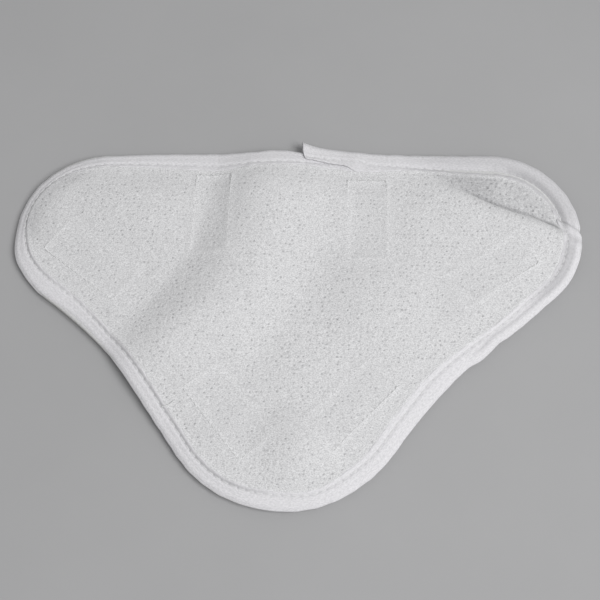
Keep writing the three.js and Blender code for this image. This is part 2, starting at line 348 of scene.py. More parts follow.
def outline_parts():
    """The straight parts and arcs of the outline, anticlockwise from the middle of the straight edge."""
    side = np.array([PAD_WIDTH / 2 - SIDE_LOBE_RADIUS, -SIDE_LOBE_RADIUS])
    front = np.array([0, FRONT_LOBE_RADIUS - PAD_DEPTH])
    side_to_hollow = SIDE_LOBE_RADIUS + HOLLOW_RADIUS
    front_to_hollow = FRONT_LOBE_RADIUS + HOLLOW_RADIUS
    apart = np.linalg.norm(side - front)
    at_side = math.acos((side_to_hollow ** 2 + apart ** 2 - front_to_hollow ** 2)
                        / (2 * side_to_hollow * apart))
    side_end = math.atan2(front[1] - side[1], front[0] - side[0]) + at_side
    hollow = side + side_to_hollow * np.array([math.cos(side_end), math.sin(side_end)])
    front_end = math.atan2(hollow[1] - front[1], hollow[0])
    flip = np.array([-1, 1])
    lobe_sweep = math.pi / 2 - side_end
    hollow_sweep = side_end - front_end
    return [
        ("line", np.array([0, 0]), np.array([-1, 0]), side[0]),
        ("arc", side * flip, SIDE_LOBE_RADIUS, math.pi / 2, lobe_sweep),
        ("arc", hollow * flip, HOLLOW_RADIUS, -side_end, hollow_sweep),
        ("arc", front, FRONT_LOBE_RADIUS, math.pi - front_end, math.pi + 2 * front_end),
        ("arc", hollow, HOLLOW_RADIUS, math.pi + front_end, hollow_sweep),
        ("arc", side, SIDE_LOBE_RADIUS, side_end, lobe_sweep),
        ("line", np.array([side[0], 0]), np.array([-1, 0]), side[0]),
    ]


def part_length(part):
    return part[3] if part[0] == "line" else abs(part[4]) * part[2]


PARTS = outline_parts()
EDGE_LENGTH = sum(part_length(part) for part in PARTS)
STITCH_PITCH = EDGE_LENGTH / round(EDGE_LENGTH / SEAM_STITCH)


def edge_at(distance):
    """Points on the rim, and the directions inwards, at distances along it from where the tape starts."""
    along = (np.asarray(distance, float) - TAPE_START) % EDGE_LENGTH
    points = np.zeros((len(along), 2))
    inwards = np.zeros((len(along), 2))
    start = 0
    for part in PARTS:
        length = part_length(part)
        here = (along >= start) & (along <= start + length)
        local = along[here] - start
        if part[0] == "line":
            points[here] = part[1] + local[:, None] * part[2]
            inwards[here] = (-part[2][1], part[2][0])
        else:
            _, centre, radius, first, sweep = part
            angle = first + np.sign(sweep) * local / radius
            out = np.stack([np.cos(angle), np.sin(angle)], 1)
            points[here] = centre + radius * out
            inwards[here] = -np.sign(sweep) * out
        start += length
    return points, inwards


def rim_place(u, v):
    """How far inside the rim places of the pattern are, negative outside, and how far along it."""
    best = np.full(np.shape(u), np.inf)
    signed = np.full(np.shape(u), -1.0)
    along = np.zeros(np.shape(u))
    start = TAPE_START
    for part in PARTS:
        length = part_length(part)
        if part[0] == "line":
            local = np.clip(part[1][0] - u, 0, length)
            away = np.hypot(part[1][0] - local - u, v)
            inside = -v
        else:
            _, (cx, cy), radius, first, sweep = part
            turned = ((np.arctan2(v - cy, u - cx) - first) * np.sign(sweep)) % (2 * np.pi)
            from_centre = np.hypot(u - cx, v - cy)
            away = np.where(turned <= abs(sweep), np.abs(from_centre - radius), np.inf)
            inside = (radius - from_centre) * np.sign(sweep)
            local = turned * radius
        closer = away < best
        best = np.where(closer, away, best)
        signed = np.where(closer, np.where(inside > 0, away, -away), signed)
        along = np.where(closer, start + local, along)
        start += length
    return signed, along % EDGE_LENGTH


def inset_of(u, v):
    return rim_place(u, v)[0]


def along_rim(distance, usual, stretches):
    """A measure of the rim: its usual value, and what the stretches that reach this place add to it."""
    value = usual
    for middle, reach, more in stretches:
        away = (distance - middle + EDGE_LENGTH / 2) % EDGE_LENGTH - EDGE_LENGTH / 2
        value = value + more * hump(away / reach)
    return value


def drawn_in(distance):
    """How far the tape draws the rim in from the cut shape."""
    return along_rim(distance, DRAWN_IN, DRAWN_STRETCHES)


def seam_line(distance):
    """How far inside the cut shape the edge seam runs."""
    return along_rim(distance, SEAM_AT, SEAM_STRETCHES)


def tape_edge(distance):
    """How far inside the cut shape the tape's inner edge is: a lip past the seam."""
    return seam_line(distance) + along_rim(distance, LIP, LIP_STRETCHES)


def wander(seed, turns, size):
    """A smooth random wave along the rim that meets itself after one time round."""
    rng = np.random.default_rng(seed)
    waves = [(count, rng.uniform(0, 2 * np.pi), rng.normal()) for count in turns]
    scale = size / math.sqrt(len(waves))

    def wave(distance):
        phase = 2 * np.pi * distance / EDGE_LENGTH
        return scale * sum(weight * np.sin(count * phase + shift) for count, shift, weight in waves)
    return wave


# ---------------------------------------------------------------- meshes

def quads(rows, columns, wrap_rows=False, wrap_columns=False):
    """Corner numbers of the four-sided faces of a grid of points, numbered row by row."""
    i, j = np.meshgrid(np.arange(rows if wrap_rows else rows - 1),
                       np.arange(columns if wrap_columns else columns - 1), indexing="ij")
    i, j = i.ravel(), j.ravel()
    ahead, beside = (i + 1) % rows, (j + 1) % columns
    return np.stack([i * columns + j, i * columns + beside, ahead * columns + beside,
                     ahead * columns + j], 1)


def grid_faces(inside):
    """Faces of the cells of a grid that have all four corners inside, numbering only the inside points."""
    number = np.cumsum(inside).reshape(inside.shape) - 1
    whole = inside[:-1, :-1] & inside[:-1, 1:] & inside[1:, 1:] & inside[1:, :-1]
    corners = (number[:-1, :-1], number[:-1, 1:], number[1:, 1:], number[1:, :-1])
    return np.stack([corner[whole] for corner in corners], 1)


def signed_volume(points, faces):
    """Six times the volume that closed faces hold, negative when they face inwards."""
    a, b, c = points[faces[:, 0]], points[faces[:, 1]], points[faces[:, 2]]
    volume = np.einsum("ij,ij->i", a, np.cross(b, c)).sum()
    if faces.shape[1] == 4:
        d = points[faces[:, 3]]
        volume += np.einsum("ij,ij->i", a, np.cross(c, d)).sum()
    return volume


def add_object(name, data):
    made = bpy.data.objects.new(name, data)
    bpy.context.scene.collection.objects.link(made)
    return made


def make_piece(name, points, face_sets, material, slot, closed=True, **attributes):
    """A smooth-shaded mesh from points in the pattern frame and arrays of three- and four-sided faces."""
    points = np.asarray(points, float).reshape(-1, 3)
    if closed and sum(signed_volume(points, faces) for faces in face_sets) < 0:
        face_sets = [faces[:, ::-1] for faces in face_sets]
    mesh = bpy.data.meshes.new(name)
    mesh.vertices.add(len(points))
    mesh.vertices.foreach_set("co", ((points + ROW_SHIFT) / 1000).astype(np.float32).ravel())
    corners = np.concatenate([faces.ravel() for faces in face_sets]).astype(np.int32)
    sizes = np.concatenate([np.full(len(faces), faces.shape[1]) for faces in face_sets])
    starts = np.concatenate([[0], np.cumsum(sizes)[:-1]]).astype(np.int32)
    mesh.loops.add(len(corners))
    mesh.loops.foreach_set("vertex_index", corners)
    mesh.polygons.add(len(sizes))
    mesh.polygons.foreach_set("loop_start", starts)
    for label, values in attributes.items():
        values = np.asarray(values, np.float32)
        kind = "FLOAT_VECTOR" if values.ndim == 2 else "FLOAT"
        layer = mesh.attributes.new(label, kind, "POINT")
        layer.data.foreach_set("vector" if values.ndim == 2 else "value", values.ravel())
    mesh.update(calc_edges=True)
    mesh.validate()
    mesh.shade_smooth()
    mesh.materials.append(material)
    piece = add_object(name, mesh)
    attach(piece, "root")
    return piece


def tube(path, radius, sides=6, closed=True):
    """Points and faces of a round thread along a line of points."""
    count = len(path)
    if closed:
        ahead = np.roll(path, -1, 0) - np.roll(path, 1, 0)
    else:
        ahead = np.gradient(path, axis=0)
    ahead /= np.linalg.norm(ahead, axis=1, keepdims=True)
    across = np.cross(np.array([0, 0, 1.0]), ahead)
    across /= np.maximum(np.linalg.norm(across, axis=1, keepdims=True), 1e-6)
    up = np.cross(ahead, across)
    angle = 2 * np.pi * np.arange(sides) / sides
    ring = (across[:, None] * np.cos(angle)[None, :, None] + up[:, None] * np.sin(angle)[None, :, None])
    points = path[:, None] + ring * np.broadcast_to(radius, (count,))[:, None, None]
    return points.reshape(-1, 3), quads(count, sides, closed, True)


# ---------------------------------------------------------------- materials

def new_material(name, roughness):
    material = bpy.data.materials.new(name)
    material.use_nodes = True
    shader = material.node_tree.nodes["Principled BSDF"]
    shader.inputs["Roughness"].default_value = roughness
    shader.inputs["Specular IOR Level"].default_value = 0.25
    return material, material.node_tree, shader


def node(tree, kind, **settings):
    """A shader node. A setting named after a socket sets it or links to it, and others are properties."""
    made = tree.nodes.new(kind)
    for key, value in settings.items():
        label = key.replace("_", " ")
        found = [s for s in made.inputs if s.name.lower() == label.lower()]
        if not found:
            setattr(made, key, value)
        elif isinstance(value, bpy.types.NodeSocket):
            tree.links.new(value, found[0])
        else:
            found[0].default_value = value
    return made


def scaled(tree, source, size):
    """Coordinates stretched so that one unit is size, given along x, y and z."""
    mapping = node(tree, "ShaderNodeMapping", Scale=tuple(1 / s for s in size))
    tree.links.new(source, mapping.inputs["Vector"])
    return mapping.outputs["Vector"]


def attribute(tree, name, output="Fac"):
    """A value that the piece stores at each of its points."""
    return node(tree, "ShaderNodeAttribute", attribute_name=name).outputs[output]


def sharpened(tree, source, low, high):
    """The part of a texture between two values, spread over the whole range from 0 to 1."""
    spread = node(tree, "ShaderNodeMapRange", Value=source)
    spread.inputs["From Min"].default_value = low
    spread.inputs["From Max"].default_value = high
    return spread.outputs["Result"]


def place_of(tree):
    """The place on the piece, in metres."""
    return node(tree, "ShaderNodeTexCoord").outputs["Object"]


def blend_colors(tree, factor, first, second):
    """A color between two others, each given as three numbers or taken from a socket."""
    mix = tree.nodes.new("ShaderNodeMix")
    mix.data_type = "RGBA"
    sockets = {s.identifier: s for s in mix.inputs}
    tree.links.new(factor, sockets["Factor_Float"])
    for socket, color in (("A_Color", first), ("B_Color", second)):
        if isinstance(color, bpy.types.NodeSocket):
            tree.links.new(color, sockets[socket])
        else:
            sockets[socket].default_value = (*color, 1)
    return next(s for s in mix.outputs if s.identifier == "Result_Color")


def paint(tree, shader, factor, first, second):
    """Gives a material a color between two others."""
    tree.links.new(blend_colors(tree, factor, first, second), shader.inputs["Base Color"])


def texture(tree, kind, place, **settings):
    """The values of a built-in texture over a place on the piece."""
    return node(tree, "ShaderNodeTex" + kind, Vector=place, **settings).outputs["Fac"]


def set_bump(tree, shader, source, distance, strength, under=None):
    """Fine relief on a material, over another relief where there is one."""
    bump = node(tree, "ShaderNodeBump", Height=source, Distance=distance, Strength=strength)
    if under is not None:
        tree.links.new(under, bump.inputs["Normal"])
    tree.links.new(bump.outputs["Normal"], shader.inputs["Normal"])
    return bump.outputs["Normal"]


def terry_material():
    """Cotton loops: soft fibres, a few greyer loops, and painted shade down in the gaps, the crease and the
    hollow.
    """
    material, tree, shader = new_material("terry_loops", 0.95)
    place = scaled(tree, place_of(tree), (0.0007, 0.00045, 0.00045))
    fibres = texture(tree, "Noise", place, Scale=1.0, Detail=2.0, Roughness=0.6)
    streaks = sharpened(tree, fibres, 0.38, 0.62)
    loops = blend_colors(tree, attribute(tree, "tint"), (0.82, 0.82, 0.83), (0.95, 0.95, 0.96))
    yarn = blend_colors(tree, streaks, (0.62, 0.62, 0.63), loops)
    # The depth attribute is painted shade, which darkens the yarn towards a dark grey.
    paint(tree, shader, attribute(tree, "depth"), yarn, DEEP_SHADE)
    set_bump(tree, shader, fibres, 0.0004, 0.6)
    shader.inputs["Sheen Weight"].default_value = 0.25
    shader.inputs["Sheen Roughness"].default_value = 0.6
    return material


def woven_material(name, color, shade, pitch, depth, roughness):
    """Plain weave that follows the cloth's own coordinates, with slightly uneven yarns."""
    material, tree, shader = new_material(name, roughness)
    cloth = attribute(tree, "weave", "Vector")
    yarns = node(tree, "ShaderNodeMath", operation="MULTIPLY")
    for number, direction in enumerate(("X", "Y")):
        wave = texture(tree, "Wave", scaled(tree, cloth, (pitch, pitch, pitch)), wave_type="BANDS",
                       bands_direction=direction, Scale=ONE_WAVE, Distortion=0.6, Detail=1.0)
        tree.links.new(wave, yarns.inputs[number])
    slubs = texture(tree, "Noise", scaled(tree, cloth, (1.4, 0.6, 2)), Scale=1.0, Detail=3.0)
    mixed = blend_colors(tree, sharpened(tree, slubs, 0.36, 0.64), shade, color)
    # The depth attribute, where a piece has one, is painted shade, which darkens the weave towards a dark
    # grey.
    paint(tree, shader, attribute(tree, "depth"), mixed, DEEP_SHADE)
    first = set_bump(tree, shader, yarns.outputs["Value"], depth, 0.8)
    set_bump(tree, shader, slubs, depth * 1.2, 0.5, first)
    shader.inputs["Sheen Weight"].default_value = 0.1
    return material


def wadding_material():
    """Felted fibres."""
    material, tree, shader = new_material("felted_fibres", 1.0)
    place = scaled(tree, place_of(tree), (0.004, 0.004, 0.004))
    clumps = texture(tree, "Noise", place, Scale=1.0, Detail=6.0, Roughness=0.7)
    paint(tree, shader, clumps, (0.62, 0.62, 0.60), (0.84, 0.84, 0.82))
    set_bump(tree, shader, clumps, 0.0006, 0.8)
    return material


def thread_material():
    """Twisted sewing thread."""
    material, tree, shader = new_material("sewing_thread", 0.55)
    place = scaled(tree, place_of(tree), (0.00025, 0.00025, 0.00025))
    twist = texture(tree, "Wave", place, wave_type="BANDS", bands_direction="DIAGONAL", Scale=0.3,
                    Distortion=1.0)
    paint(tree, shader, twist, (0.74, 0.745, 0.75), (0.9, 0.9, 0.9))
    set_bump(tree, shader, twist, 0.0001, 0.6)
    return material


def hook_material():
    """Moulded nylon hooks and their woven base."""
    material, tree, shader = new_material("hook_nylon", 0.45)
    place = scaled(tree, place_of(tree), (0.001, 0.001, 0.001))
    speckle = texture(tree, "Noise", place, Scale=1.5, Detail=3.0)
    paint(tree, shader, speckle, (0.70, 0.70, 0.68), (0.84, 0.84, 0.82))
    set_bump(tree, shader, speckle, 0.00015, 0.5)
    return material


def floor_material():
    """Plain pale floor with a faint mottle."""
    material, tree, shader = new_material("pale_floor", 0.8)
    mottle = texture(tree, "Noise", place_of(tree), Scale=6.0, Detail=5.0, Roughness=0.6)
    paint(tree, shader, mottle, (0.40, 0.40, 0.405), (0.46, 0.46, 0.465))
    return material


# ---------------------------------------------------------------- camera, light and floor

def make_camera():
    data = bpy.data.cameras.new("camera")
    data.lens = CAMERA_LENS
    data.sensor_width = 36
    data.clip_start = 0.01
    camera = add_object("camera", data)
    tilt = math.radians(90 - CAMERA_ELEVATION)
    away = Vector((0, -math.sin(tilt), math.cos(tilt)))
    camera.location = Vector(CAMERA_AIM) + CAMERA_DISTANCE * away
    camera.rotation_euler = (tilt, 0, 0)
    bpy.context.scene.camera = camera


def area_light(name, azimuth, elevation, distance, size, power):
    """A soft square light that faces the pad from a compass direction, 0 being +x and 90 being +y."""
    data = bpy.data.lights.new(name, "AREA")
    data.shape = "SQUARE"
    data.size = size
    data.energy = power
    flat, rise = heading(elevation)
    toward = Vector((*(flat * heading(azimuth)), rise))
    light = add_object(name, data)
    light.location = toward * distance
    light.rotation_euler = toward.to_track_quat("Z", "Y").to_euler()


def make_studio():
    scene = bpy.context.scene
    world = bpy.data.worlds.new("studio")
    scene.world = world
    world.use_nodes = True
    sky = world.node_tree.nodes["Background"]
    sky.inputs["Color"].default_value = (1.0, 1.0, 1.0, 1)
    sky.inputs["Strength"].default_value = SKY_STRENGTH
    area_light("window", WINDOW_AZIMUTH, WINDOW_ELEVATION, WINDOW_DISTANCE, WINDOW_SIZE, WINDOW_POWER)
    scene.view_settings.view_transform = "Standard"
    mesh = bpy.data.meshes.new("floor")
    corners = [(x * FLOOR_REACH, y * FLOOR_REACH, 0) for x, y in ((-1, -1), (1, -1), (1, 1), (-1, 1))]
    mesh.from_pydata(corners, [], [(0, 1, 2, 3)])
    mesh.materials.append(floor_material())
    floor = add_object("floor", mesh)


# ---------------------------------------------------------------- layers

def layer_places():
    """Places of the pattern in rings: the first follow the rim and the rest shrink to the middle."""
    points, inwards = edge_at(np.arange(RIM_POINTS) * EDGE_LENGTH / RIM_POINTS)
    rings = [points + inwards * inset for inset in RIM_INSETS]
    last = rings[-1]
    middle = np.array(MIDDLE)
    for step in range(1, SHRINK_STEPS):
        part = 1 - step / SHRINK_STEPS
        rings.append(middle + (last - middle) * part)
    return np.array(rings)


def face_top(inset, plain, rim):
    """The height of a surface that the tape squeezes near the rim."""
    return rim + (plain - rim) * smooth(inset, PRESSED_INSET, PLUMP_INSET)


def layer_faces(rings, per_side):
    """Faces of one layer: a top and an underside that each close on a middle point, and a rim wall."""
    last = (rings - 1) * RIM_POINTS
    i = np.arange(RIM_POINTS)
    fan = np.stack([last + i, last + (i + 1) % RIM_POINTS, np.full(RIM_POINTS, rings * RIM_POINTS)], 1)
    top = quads(rings, RIM_POINTS, False, True)
    beside = (i + 1) % RIM_POINTS
    wall = np.stack([i, i + per_side, beside + per_side, beside], 1)
    return [np.concatenate([top, top[:, ::-1] + per_side, wall]),
            np.concatenate([fan[:, ::-1], fan + per_side])]


def make_layer(name, bottom, top, material, slot, follow=(0, 0), fuzz=0):
    """One cloth layer. Bottom and top are (at the rim, elsewhere) heights, and follow says how much of
    the quilting each side takes."""
    rings = layer_places()
    places = np.concatenate([rings.reshape(-1, 2), [MIDDLE]])
    u, v = places[:, 0], places[:, 1]
    inset = inset_of(u, v)
    stands = relief(u, v)
    sides = []
    rng = np.random.default_rng(5)
    for (at_rim, plain), share in ((top, follow[1]), (bottom, follow[0])):
        rough = fuzz * rng.normal(size=len(u)) * smooth(inset, PRESSED_INSET, PLUMP_INSET)
        sides.append(lie(u, v, face_top(inset, plain, at_rim) + share * stands + rough))
    faces = layer_faces(len(rings), len(u))
    weave = np.concatenate([np.stack([u, v, np.zeros_like(u)], 1)] * 2)
    return make_piece(name, np.concatenate(sides), faces, material, slot, weave=weave)


# ---------------------------------------------------------------- quilting by cloth simulation

def stitch_line_distance(u, v):
    """How far a place of the pattern is from the nearest stitched oblong, negative inside it."""
    x = u + sway(v)
    best = np.full(np.shape(x), np.inf)
    for patch in PATCH_PLACES:
        over = over_patch(patch, x, v) + STITCH_MARGIN
        best = np.where(np.abs(over) < np.abs(best), over, best)
    return best


def simulate_quilting():
    """Blows the face up a little between its seams with a cloth simulation, and keeps how it stands."""
    us = np.arange(-PAD_WIDTH / 2 - SIM_CELL, PAD_WIDTH / 2 + 2 * SIM_CELL, SIM_CELL)
    vs = np.arange(-PAD_DEPTH - SIM_CELL, 2 * SIM_CELL, SIM_CELL)
    u, v = np.meshgrid(us, vs)
    inset = inset_of(u, v)
    inside = inset > SIM_INSET
    level = face_top(inset[inside], PLAIN_TOP, RIM_TOP)
    start = lie(u[inside], v[inside], level)
    mesh = bpy.data.meshes.new("quilting")
    mesh.from_pydata((start / 1000).tolist(), [], grid_faces(inside).tolist())
    cloth_object = add_object("quilting", mesh)
    seam = np.abs(stitch_line_distance(u[inside], v[inside]))
    held = np.maximum(1 - smooth(inset[inside], QUILT_HELD, QUILT_FREE), 1 - smooth(seam, 1.5, 3.5))
    group = cloth_object.vertex_groups.new(name="held")
    for index, weight in enumerate(held):
        group.add([index], float(weight), "REPLACE")
    cloth = cloth_object.modifiers.new("quilting", "CLOTH")
    settings = cloth.settings
    settings.vertex_group_mass = "held"
    settings.use_pressure = True
    settings.uniform_pressure_force = QUILT_PRESSURE
    settings.shrink_min = -QUILT_SLACK
    settings.tension_stiffness = QUILT_STIFFNESS
    settings.compression_stiffness = QUILT_STIFFNESS
    settings.bending_stiffness = QUILT_BENDING
    settings.effector_weights.gravity = 0
    cloth.collision_settings.use_collision = False
    scene = bpy.context.scene
    cloth.point_cache.frame_start = 1
    cloth.point_cache.frame_end = QUILT_FRAMES
    for frame in range(1, QUILT_FRAMES + 1):
        scene.frame_set(frame)
    depsgraph = bpy.context.evaluated_depsgraph_get()
    after = np.empty(len(start) * 3, np.float32)
    cloth_object.evaluated_get(depsgraph).data.vertices.foreach_get("co", after)
    lifted = lie(u[inside], v[inside], level + 1) - start
    moved = np.einsum("ij,ij->i", after.reshape(-1, 3) * 1000 - start, lifted)
    grid = np.zeros(u.shape)
    grid[inside] = np.clip(moved, -QUILT_CAP / 2, QUILT_CAP)
    for _ in range(QUILT_EASES):
        grid = soften(grid)
    bpy.data.objects.remove(cloth_object)
    scene.frame_set(1)
    RELIEF.update(grid=grid, u0=us[0], v0=vs[0], cell=SIM_CELL)


# ---------------------------------------------------------------- terry pile

def stamp(target, rows, columns, value_at, reach, combine):
    """Adds one small shape at each centre to a grid. Rows and columns are the centres in cells."""
    row0, column0 = np.round(rows).astype(int), np.round(columns).astype(int)
    for dr in range(-reach[0], reach[0] + 1):
        for dc in range(-reach[1], reach[1] + 1):
            r, c = row0 + dr, column0 + dc
            good = (r >= 0) & (c >= 0) & (r < target.shape[0]) & (c < target.shape[1])
            value = value_at(c - columns, r - rows)
            combine.at(target, (r[good], c[good]), value[good])


def loop_field(us, vs, rng):
    """Heights of looped pile from 0 in the gaps to about 1, and which loops are greyer."""
    row_count = int((vs[-1] - vs[0]) / LOOP_ROW)
    column_count = int((us[-1] - us[0]) / LOOP_PITCH)
    row, column = np.meshgrid(np.arange(row_count), np.arange(column_count), indexing="ij")
    row, column = row.ravel(), column.ravel()
    count = len(row)
    across = (column + 0.5 * (row % 2) + rng.normal(0, 0.17, count)) * LOOP_PITCH / PILE_CELL
    down = (row + rng.normal(0, 0.1, count)) * LOOP_ROW / PILE_CELL
    turn = rng.normal(0, 0.3, count)
    length = rng.uniform(0.7, 1.1, count) / PILE_CELL
    width = rng.uniform(0.5, 0.7, count) / PILE_CELL
    top = rng.uniform(0.72, 1.0, count)
    lean = rng.uniform(-0.25, 0.25, count)

    def across_loop(dc, dr, longer, wider):
        a = (dc * np.cos(turn) + dr * np.sin(turn)) / (longer * length)
        b = (dr * np.cos(turn) - dc * np.sin(turn)) / (wider * width)
        return a, b

    def dome(dc, dr):
        a, b = across_loop(dc, dr, 1, 1)
        return top * np.sqrt(np.clip(1 - a * a - b * b, 0, 1)) * (1 + lean * a)

    heights = np.zeros((len(vs), len(us)))
    stamp(heights, down, across, dome, (2, 3), np.maximum)
    grey = rng.normal(0, 1, count)

    def tint(dc, dr):
        a, b = across_loop(dc, dr, 1.3, 1.1)
        return grey * np.exp(-2 * (a * a + b * b))

    tints = np.zeros_like(heights)
    stamp(tints, down, across, tint, (2, 3), np.add)
    return heights, tints


def pinhole_field(us, vs, rng):
    """Small dark gaps between the loops, in rows along the cloth at an uneven pitch; the pile is sunk and
    painted with shade there.
    """
    holes = np.zeros((len(vs), len(us)))
    centres = []
    for v in np.arange(vs[0], vs[-1], 2 * LOOP_ROW):
        steps = 1.6 + rng.exponential(3.2, int((us[-1] - us[0]) / 2.7) + 20)
        places = us[0] + rng.uniform(0, 3) + np.cumsum(steps)
        places = places[places < us[-1]]
        centres.append(np.stack([places, v + rng.normal(0, 0.22, len(places))], 1))
    centres = np.concatenate(centres)
    strength = rng.uniform(0.35, 1.05, len(centres)) ** 1.3
    seam = stitch_line_distance(centres[:, 0], centres[:, 1])
    strength *= 0.35 + 0.65 * smooth(np.abs(seam), 2, 6)
    radius = rng.uniform(0.32, 0.42, len(centres)) / PILE_CELL

    def pit(dc, dr):
        return strength * np.exp(-(dc * dc + 1.3 * dr * dr) / (radius * radius))

    stamp(holes, (centres[:, 1] - vs[0]) / PILE_CELL, (centres[:, 0] - us[0]) / PILE_CELL, pit, (3, 3),
          np.maximum)
    return holes


def pile_top(u, v, along, from_tape, seam, hollow):
    """The height of the pile's loops: tucked under the tape, pressed by stitches and pinched by a crease."""
    free = smooth(from_tape, -0.4, 2.5)
    emboss = 0.24 * bell(seam, 1.6) - 0.1 * smooth(-seam, 1, 6)
    past, share = past_crease(u, v)
    pinch = share * bell(past - 1, CREASE_PINCH_REACH) * smooth(from_tape, 2, 14)
    top = LIP_TOP - 0.9 + 1.0 * smooth(from_tape, -PILE_TUCK, 0.3)
    top = top + (PLAIN_TOP - LIP_TOP) * smooth(from_tape, 0, 18) + relief(u, v) + emboss * free
    top = top - CREASE_PINCH * pinch
    top = top - 0.4 * rolled_rim(along) * bell(from_tape - 1.2, 1.2)
    return top - 0.3 * hollow * smooth(from_tape, 0, 3)


def make_pile(material):
    """The loops of the terry face, standing on the ground cloth."""
    rng = np.random.default_rng(21)
    us = np.arange(-PAD_WIDTH / 2, PAD_WIDTH / 2, PILE_CELL)
    vs = np.arange(-PAD_DEPTH, 0, PILE_CELL)
    loops, tints = loop_field(us, vs, rng)
    holes = pinhole_field(us, vs, rng)
    u, v = np.meshgrid(us, vs)
    inset, along = rim_place(u, v)
    from_tape = inset - tape_edge(along)
    inside = from_tape > -PILE_TUCK
    u, v, along, from_tape = u[inside], v[inside], along[inside], from_tape[inside]
    gap = 1 - soften(loops)[inside]
    hole = holes[inside] * smooth(from_tape, 0, 2)
    free = smooth(from_tape, -0.4, 2.5)
    seam = stitch_line_distance(u, v)
    hollow = between(along, PILE_HOLLOW) * bell(from_tape, 6)
    # Past the crease the pile is bent open, so its loops look longer and their gaps deeper.
    past, share = past_crease(u, v)
    opened = share ** 0.3 * smooth(past, -1, 4)
    top = pile_top(u, v, along, from_tape, seam, hollow)
    up = top - LOOP_HEIGHT * (1 + 1.2 * opened) * gap * free - HOLE_DEPTH * hole
    tint = 0.6 + (0.05 + 0.45 * opened) * tints[inside] + 0.3 * bell(seam, 1.1) - 0.1 * smooth(-seam, 1, 6)
    # Depth is the painted shade of the pinholes, the gaps, the crease, the bent-open pile past it and the
    # hollow, from 0 to 1.
    gaps = (0.12 + 0.4 * opened) * gap ** 1.3 * free
    shade = share * bell(past + 0.4, CREASE_SHADE_REACH) * free
    creased = shade * (0.3 + 0.45 * smooth(u, 85, 110)) + (0.26 - 0.2 * smooth(u, 92, 112)) * opened
    depth = 0.95 * hole + gaps + creased + 0.34 * hollow
    return make_piece("terry_pile", lie(u, v, up), [grid_faces(inside)], material, "terry", closed=False,
                      depth=np.clip(depth, 0, 1), tint=np.clip(tint, 0, 1))


# ---------------------------------------------------------------- edge binding

def binding_width(s):
    """How far in from the rim the tape's inner edge is, with its cut ends rounded."""
    width = tape_edge(s) + wander(4, range(60, 120, 7), 0.12)(s)
    tail = s - EDGE_LENGTH
    width = width - 3.4 * smooth(tail, 2, 10)
    corner = 3
    for from_end in (EDGE_LENGTH + OVERLAP - s, s):
        room = np.clip(from_end, 0, corner)
        width = width - (corner - np.sqrt(np.maximum(corner ** 2 - (corner - room) ** 2, 0)))
    return width


def seam_inset(s):
    """How far in the seam runs. It is nearer the rim on the second layer of tape."""
    return seam_line(s) - 2.2 * smooth(s - EDGE_LENGTH, -6, 3)


def stitch_wave(s):
    """1 where the edge seam's needle went in and -1 halfway between."""
    return np.cos(2 * np.pi * s / STITCH_PITCH)


def rolled_rim(s):
    """How much the tape rolls inwards, from 0 to 1: only round the creased corner."""
    return between(s, ROLLED)


def binding_sections(s):
    """Inset and height, one row for each distance along the rim, of the tape's outer surface."""
    lift = TAIL_LIFT * smooth(s - EDGE_LENGTH, -7, 3)
    width = binding_width(s)
    seam = np.minimum(seam_inset(s), width - SEAM_FROM_EDGE)
    drawn = drawn_in(s) + wander(15, range(40, 90, 8), 0.08)(s)
    stitch = stitch_wave(s)
    half = (RIM_TOP / 2 + GAP + TAPE_THICKNESS - 0.15) * (1 + wander(11, range(7, 34, 3), 0.05)(s)) + lift
    reach = np.minimum(NOSE_REACH + lift, 0.72 * (seam - drawn))
    slack = wander(16, range(30, 80, 6), 0.1)(s)
    drag = wander(17, range(90, 200, 11), 0.06)(s)
    tuck = 0.5 * between(s, TUCKED)
    rolled = rolled_rim(s)
    bevel = BEVEL - 1.3 * rolled
    middle = RIM_TOP / 2
    angles = np.radians(np.linspace(90, -90, NOSE_POINTS)[1:-1])
    flats = [drawn + reach + (width - drawn - reach) * part for part in np.linspace(1, 0, FLAT_POINTS)]
    insets, ups = [], []
    for flat in flats:
        body = np.clip((flat - drawn - reach) / (seam - drawn - reach), 0, 1)
        lip = smooth(flat, seam, np.maximum(width, seam + 1.5))
        groove = bell(flat - seam, 0.7)
        fold = tuck * bell(flat - drawn - 4.6, 1.0)
        crown = (0.15 + 0.45 * rolled) * np.sin(np.pi * body) + bevel * body
        pucker = (0.05 * stitch + drag + slack) * body * (1 - groove)
        insets.append(flat)
        ups.append(middle + half + crown + pucker - groove * (0.4 + 0.1 * stitch) - fold
                   + lip * (LIP_RISE + 0.15 - bevel + slack - 0.05 * stitch))
    for angle in angles:
        insets.append(drawn + reach * (1 - np.cos(angle)))
        ups.append(middle + half * np.sin(angle))
    for flat in flats[::-1]:
        groove = bell(flat - seam, 0.8)
        insets.append(flat)
        ups.append(middle - half + groove * (0.35 + 0.1 * stitch) - drag)
    return np.stack(insets, 1), np.stack(ups, 1)


def inner_surface(inset, up):
    """The inside of the tape, its thickness away from the outside."""
    along_inset = np.gradient(inset, axis=1)
    along_up = np.gradient(up, axis=1)
    size = np.maximum(np.hypot(along_inset, along_up), 1e-6)
    return inset + along_up / size * TAPE_THICKNESS, up + along_inset / size * TAPE_THICKNESS


def tail_shift(s):
    """How the unsewn corner of the tape's end swings outwards and up."""
    loose = np.clip((s - EDGE_LENGTH + 5) / (OVERLAP + 5), 0, 1)
    return TAIL_SWING * loose ** 2.2, TAIL_RISE * loose ** 2


